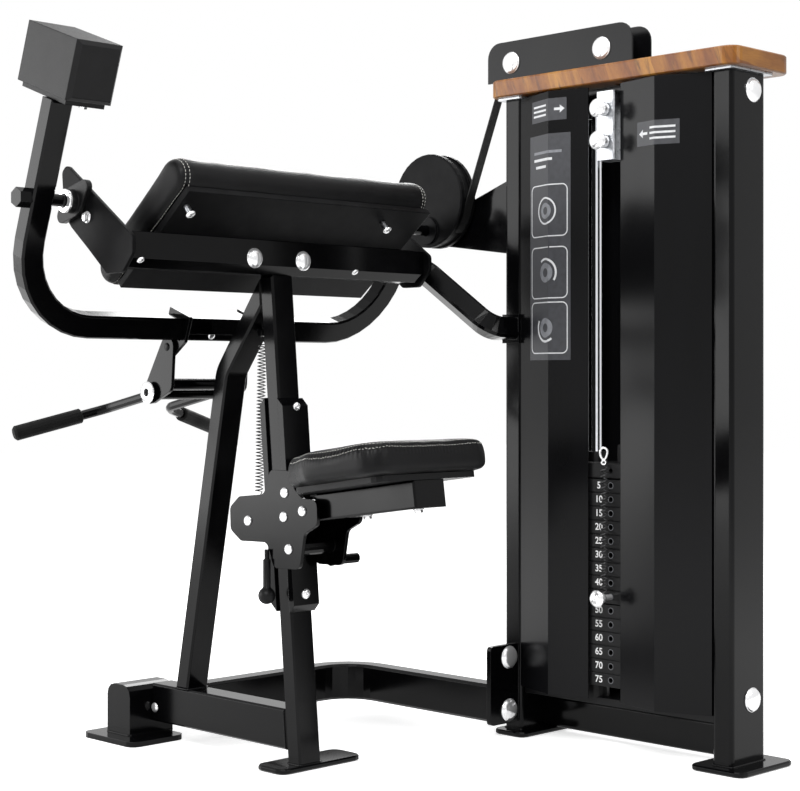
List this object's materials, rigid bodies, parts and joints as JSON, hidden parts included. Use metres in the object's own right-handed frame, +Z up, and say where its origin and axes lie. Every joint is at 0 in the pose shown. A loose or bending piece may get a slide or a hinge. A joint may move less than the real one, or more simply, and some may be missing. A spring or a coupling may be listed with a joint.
{
  "type": "biceps curl machine",
  "caption": "Seated biceps curl gym machine with a sloping arm pad, a counterweighted swinging yoke with handles, a height-set seat and a shrouded pin-select weight stack.",
  "frame": {"origin": "middle of the footprint, on the floor", "axes": "+Z up; +X from the user towards the weight tower; +Y the way the seated user faces"},
  "size_m": [1.3322, 1.3718, 1.592],
  "materials": {
    "gloss": "gloss",
    "satin": "satin",
    "chrome": "polished",
    "steel": "satin",
    "iron": "matt",
    "vinyl": "satin",
    "rubber": "matt",
    "plastic": "matt",
    "wood": "satin"
  },
  "bodies": {
    "frame": {"tower_post_near": "gloss", "tower_post_far": "gloss", "tower_base_tube": "gloss", "tower_top_tube": "gloss", "wood_mount_plate_near": "steel", "wood_mount_plate_far": "steel", "wood_top": "wood", "shroud_panel_left": "satin", "shroud_panel_right": "satin", "stack_base": "iron", "guide_rod_near": "chrome", "guide_rod_far": "chrome", "stack_plates_resting": "iron", "increment_housing": "satin", "lift_belt_top": "rubber", "lift_belt_drop": "rubber", "lift_belt_lower": "rubber", "pulley_guard_left": "satin", "pulley_guard_right": "satin", "post_front": "gloss", "user_base_tube": "gloss", "post_rear": "gloss", "rear_foot": "gloss", "curved_base_tube": "gloss", "guide_strip_front": "gloss", "guide_strip_rear": "gloss", "beam": "gloss", "pivot_bracket_left": "gloss", "pivot_bracket_right": "gloss", "flange_bearing_left": "iron", "flange_bearing_right": "iron", "swan_neck_tube": "gloss", "cam_support_plate": "gloss", "arm_pad": "vinyl", "arm_pad_board": "plastic", "seat_spring": "steel"},
    "yoke": {"yoke": "gloss", "pivot_shaft_left": "steel", "pivot_shaft_right": "steel", "counterweight": "iron", "yoke_bracket": "gloss", "cam": "satin"},
    "fork": {"handle_fork": "gloss"},
    "handle": {"handle_bar": "gloss", "grip_left": "rubber", "grip_right": "rubber"},
    "stack": {"stack_head": "iron", "stack_plates_lifted": "iron", "pin_lanyard": "rubber"},
    "pin": {"selector_pin": "chrome"},
    "pulley_near": {"top_pulley_near": "plastic"},
    "pulley_far": {"top_pulley_far": "plastic"},
    "increment_upper": {"increment_knob_upper": "chrome"},
    "increment_lower": {"increment_knob_lower": "chrome"},
    "carriage": {"seat_carriage": "gloss", "seat_board": "plastic", "seat_pad": "vinyl"},
    "lever": {"release_lever": "gloss"},
    "adjuster": {"adjuster_knob": "plastic"}
  },
  "joints": [
    {"name": "yoke_turn", "type": "hinge", "parent": "frame", "child": "yoke", "pos_m": [-0.10385, 0.24411, 1.172], "axis": [1, 0, 0], "range_deg": [0, 110], "deforming": ["lift_belt_lower"]},
    {"name": "fork_swing", "type": "hinge", "parent": "yoke", "child": "fork", "pos_m": [-0.10385, 0.35647, 0.88511], "axis": [1, 0, 0], "range_deg": [-12, 18]},
    {"name": "handle_tilt", "type": "hinge", "parent": "fork", "child": "handle", "pos_m": [-0.10385, 0.41411, 0.785], "axis": [1, 0, 0], "range_deg": [-25, 30]},
    {"name": "stack_lift", "type": "slide", "parent": "frame", "child": "stack", "axis": [0, 0, 1], "range_m": [0, 0.3], "deforming": ["lift_belt_drop"]},
    {"name": "pin_pull", "type": "slide", "parent": "stack", "child": "pin", "axis": [-1, 0, 0], "range_m": [0, 0.07]},
    {"name": "pulley_near_spin", "type": "hinge", "parent": "frame", "child": "pulley_near", "pos_m": [0.51815, -0.29689, 1.542], "axis": [1, 0, 0], "range_deg": [-460, 0]},
    {"name": "pulley_far_spin", "type": "hinge", "parent": "frame", "child": "pulley_far", "pos_m": [0.51815, -0.03289, 1.542], "axis": [1, 0, 0], "range_deg": [-460, 0]},
    {"name": "increment_upper_pull", "type": "slide", "parent": "frame", "child": "increment_upper", "axis": [-1, 0, 0], "range_m": [0, 0.012]},
    {"name": "increment_lower_pull", "type": "slide", "parent": "frame", "child": "increment_lower", "axis": [-1, 0, 0], "range_m": [0, 0.012]},
    {"name": "seat_height", "type": "slide", "parent": "frame", "child": "carriage", "axis": [0, 0.0876, 0.9962], "range_m": [-0.06, 0.1], "deforming": ["seat_spring"]},
    {"name": "lever_pull", "type": "hinge", "parent": "carriage", "child": "lever", "pos_m": [-0.10385, 0.04911, 0.452], "axis": [1, 0, 0], "range_deg": [-20, 0], "stiffness_Nm_per_rad": 2, "springref_deg": 5.73},
    {"name": "adjuster_pull", "type": "slide", "parent": "carriage", "child": "adjuster", "axis": [0, 0, -1], "range_m": [0, 0.015], "stiffness_N_per_m": 300, "springref_m": -0.005}
  ],
  "couplings": [
    {"joint": "stack_lift", "follows": "yoke_turn", "m_per_rad": 0.15},
    {"joint": "pulley_near_spin", "follows": "yoke_turn", "ratio": -3.968},
    {"joint": "pulley_far_spin", "follows": "yoke_turn", "ratio": -3.968}
  ]
}
